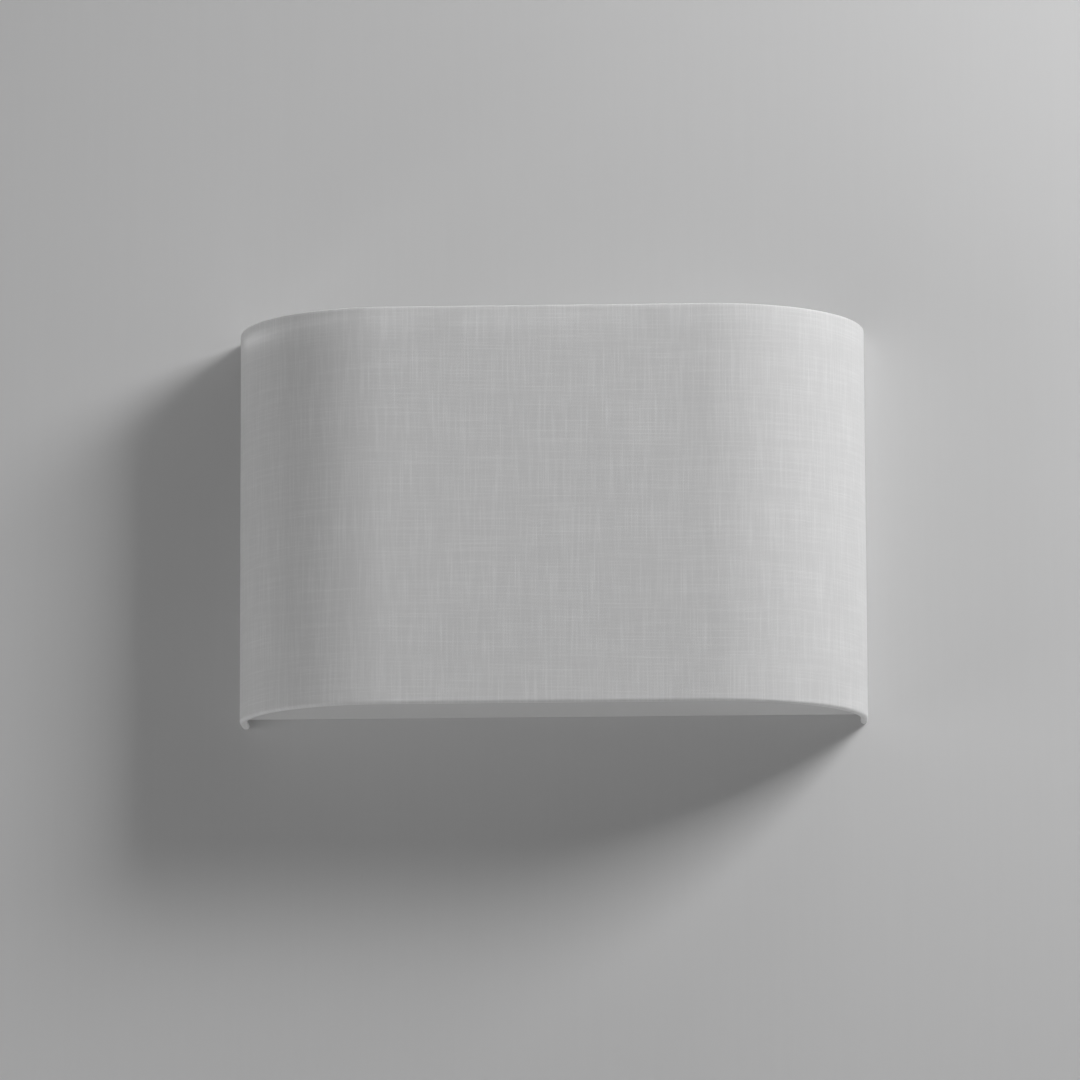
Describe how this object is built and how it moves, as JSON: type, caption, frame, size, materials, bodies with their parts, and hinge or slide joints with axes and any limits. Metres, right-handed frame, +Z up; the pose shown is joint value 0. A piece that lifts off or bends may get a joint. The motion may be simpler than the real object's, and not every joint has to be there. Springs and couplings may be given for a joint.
{
  "type": "fabric shade wall light",
  "caption": "Wall light with a D-shaped linen shade over a white steel back pan, opal diffusers above and below, and screw-in globe bulbs on brackets inside.",
  "frame": {"origin": "middle of the two wall screw slots, on the wall plane, at half the height of the shade", "axes": "+X to the right along the shade, +Y into the wall, +Z up"},
  "size_m": [0.3, 0.086, 0.189],
  "materials": {
    "linen": "fine slubbed linen, unbleached white",
    "styrene": "smooth translucent sheet",
    "white_wire": "white powder coat",
    "opal_acrylic": "satin opal sheet",
    "white_paint": "fine texture powder coat",
    "zinc_steel": "bright zinc plate",
    "nickel": "nickel plate",
    "spring_steel": "blued spring temper",
    "rivet_aluminium": "plain",
    "grey_rubber": "moulded",
    "holder_plastic": "moulded thermoplastic",
    "block_nylon": "translucent nylon",
    "brass": "plain",
    "tinned_copper": "tinned",
    "earth_sleeve": "green and yellow sleeve",
    "lead_sleeve": "woven glass sleeve",
    "opal_globe": "opal",
    "bulb_plastic": "moulded",
    "black_insulator": "glass bead"
  },
  "bodies": {
    "wall_unit": {"back_pan": "white_paint", "block_screws": "zinc_steel", "bracket_rivets": "rivet_aluminium", "cable_grommet": "grey_rubber", "cap_nuts": "nickel", "clamp_screws": "nickel", "clip_rivets": "rivet_aluminium", "earth_lead": "earth_sleeve", "earth_nut": "brass", "earth_screw": "brass", "earth_tag": "tinned_copper", "lampholder_nuts": "holder_plastic", "left_centre_contact": "brass", "left_lamp_bracket": "white_paint", "left_lampholder_body": "holder_plastic", "left_leads": "lead_sleeve", "left_thread_shell": "brass", "locating_studs": "zinc_steel", "right_centre_contact": "brass", "right_lamp_bracket": "white_paint", "right_lampholder_body": "holder_plastic", "right_leads": "lead_sleeve", "right_thread_shell": "brass", "spring_clips": "spring_steel", "strap_studs": "zinc_steel", "stud_washers": "zinc_steel", "terminal_block": "block_nylon", "terminal_sleeves": "brass", "wall_strap": "zinc_steel"},
    "shade": {"shade_fabric": "linen", "shade_liner": "styrene", "top_ring": "white_wire", "bottom_ring": "white_wire", "left_strut": "white_wire", "right_strut": "white_wire", "diffuser_tabs": "white_wire", "bottom_diffuser": "opal_acrylic"},
    "top_diffuser": {"top_diffuser": "opal_acrylic"},
    "left_bulb": {"left_bulb_base": "bulb_plastic", "left_bulb_board": "rivet_aluminium", "left_bulb_cap": "nickel", "left_bulb_globe": "opal_globe", "left_bulb_insulator": "black_insulator", "left_bulb_tip": "tinned_copper"},
    "right_bulb": {"right_bulb_base": "bulb_plastic", "right_bulb_board": "rivet_aluminium", "right_bulb_cap": "nickel", "right_bulb_globe": "opal_globe", "right_bulb_insulator": "black_insulator", "right_bulb_tip": "tinned_copper"}
  },
  "joints": [
    {"name": "shade_pull", "type": "slide", "parent": "wall_unit", "child": "shade", "axis": [0, -1, 0], "range_m": [0, 0.1]},
    {"name": "top_diffuser_lift", "type": "slide", "parent": "shade", "child": "top_diffuser", "axis": [0, 0, 1], "range_m": [0, 0.03]},
    {"name": "left_bulb_turn", "type": "hinge", "parent": "wall_unit", "child": "left_bulb", "pos_m": [-0.07, -0.045, 0], "axis": [0, 0, 1], "continuous": true},
    {"name": "right_bulb_turn", "type": "hinge", "parent": "wall_unit", "child": "right_bulb", "pos_m": [0.07, -0.045, 0], "axis": [0, 0, 1], "continuous": true}
  ]
}
